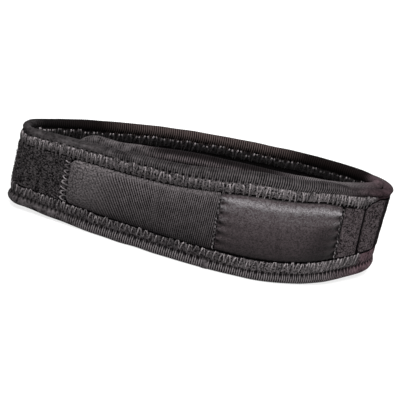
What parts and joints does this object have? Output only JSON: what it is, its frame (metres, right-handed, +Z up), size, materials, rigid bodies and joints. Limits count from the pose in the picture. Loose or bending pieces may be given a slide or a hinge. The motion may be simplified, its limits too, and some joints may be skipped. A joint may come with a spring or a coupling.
{
  "type": "patellar knee strap",
  "caption": "Padded knee strap worn below the kneecap: a tape-bound strip wrapped into a flattened loop that closes on itself with a hook patch on loop pile.",
  "frame": {"origin": "centre of the strap's box on the surface that it stands on", "axes": "+Z up from the lower edge, +X along the loop towards its rounder end, -Y out of the front face"},
  "size_m": [0.1692, 0.0646, 0.0513],
  "materials": {
    "padding": "matt black knit over foam",
    "binding_tape": "ribbed charcoal knit tape",
    "twill": "smooth ribbed charcoal twill over padding",
    "satin": "charcoal satin with a soft sheen",
    "brushed_cloth": "brushed charcoal jersey",
    "loop_pile": "fuzzy black loop pile",
    "hook_tape": "fine moulded hooks"
  },
  "bodies": {
    "root": {"strap_body": "padding", "edge_binding": "binding_tape", "front_panel": "twill", "badge_panel": "satin", "tail_panel": "brushed_cloth", "tail_end_panel": "brushed_cloth", "loop_panel": "loop_pile", "hook_patch": "hook_tape"}
  },
  "joints": []
}
